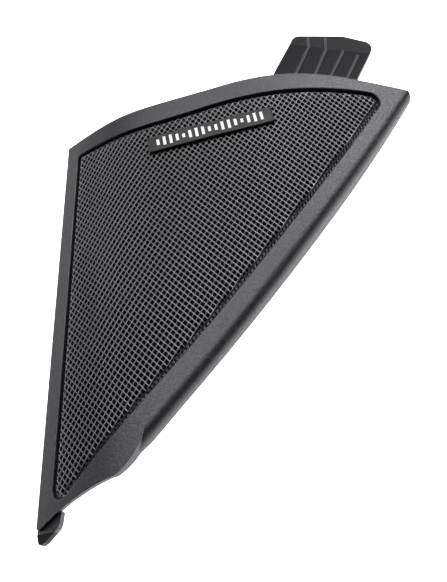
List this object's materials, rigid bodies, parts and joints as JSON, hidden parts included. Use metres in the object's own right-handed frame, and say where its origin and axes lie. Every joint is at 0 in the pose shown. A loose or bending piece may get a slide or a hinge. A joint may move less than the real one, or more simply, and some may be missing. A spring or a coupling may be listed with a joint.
{
  "type": "car door-corner tweeter",
  "caption": "Crowned triangular door-corner tweeter panel: grained bezel, sunk metal mesh, badge plate, ribbed tongue and tip hook, with a small dome tweeter, filter board and clips behind.",
  "frame": {"origin": "centre of the locating pin's shoulder, in the plane of the door skin", "axes": "+Z out of the grille towards the listener, +Y from the narrow tip towards the tongue, +X across the wide end"},
  "size_m": [0.1153, 0.1649, 0.029],
  "materials": {
    "cover_plastic": "fine leather-like grain, dark charcoal",
    "mesh_paint": "satin charcoal paint on perforated steel",
    "cloth_black": "thin acoustic cloth",
    "badge_black": "satin black plate",
    "badge_white": "raised light bars",
    "carrier_plastic": "black moulded plastic",
    "frame_plastic": "black glass-filled plastic",
    "chamber_plastic": "black moulded plastic",
    "spring_steel": "zinc-plated spring steel",
    "screw_steel": "zinc-plated screws and nuts",
    "motor_steel": "plated mild steel",
    "magnet_nickel": "nickel-plated neodymium",
    "dome_fabric": "coated silk",
    "surround_fabric": "coated cloth half-roll",
    "ring_plastic": "moulded ring",
    "former_foil": "rolled foil",
    "coil_copper": null,
    "foam_dark": "open-cell foam",
    "felt_grey": "pressed felt",
    "fibre_board": "brown laminate",
    "tag_brass": "tinned brass",
    "lead_red": "insulated wire",
    "lead_black": "insulated wire",
    "board_green": "solder-masked circuit board",
    "capacitor_box": "film capacitor in a moulded box",
    "socket_plastic": "natural nylon",
    "pin_tin": "tinned brass pins"
  },
  "bodies": {
    "panel": {"cover": "cover_plastic", "grille_mesh": "mesh_paint", "acoustic_cloth": "cloth_black", "badge_plate": "badge_black", "badge_push_nuts": "screw_steel", "badge_marks": "badge_white", "carrier": "carrier_plastic", "spring_clips": "spring_steel", "foam_gasket": "foam_dark", "tweeter_frame": "frame_plastic", "yoke_cup": "motor_steel", "magnet": "magnet_nickel", "pole_plate": "motor_steel", "damping_felt": "felt_grey", "suspension_ring": "ring_plastic", "surround": "surround_fabric", "rear_chamber": "chamber_plastic", "chamber_foam": "foam_dark", "tweeter_screws": "screw_steel", "terminal_board": "fibre_board", "terminal_tags": "tag_brass", "lead_positive": "lead_red", "lead_negative": "lead_black", "filter_board": "board_green", "filter_capacitor": "capacitor_box", "connector_socket": "socket_plastic", "connector_pins": "pin_tin", "board_screws": "screw_steel"},
    "diaphragm": {"dome": "dome_fabric", "coil_former": "former_foil", "voice_coil": "coil_copper"}
  },
  "joints": [
    {"name": "dome_travel", "type": "slide", "parent": "panel", "child": "diaphragm", "axis": [0, 0, 1], "range_m": [-0.0003, 0.0003], "stiffness_N_per_m": 12000, "deforming": ["surround"]}
  ]
}
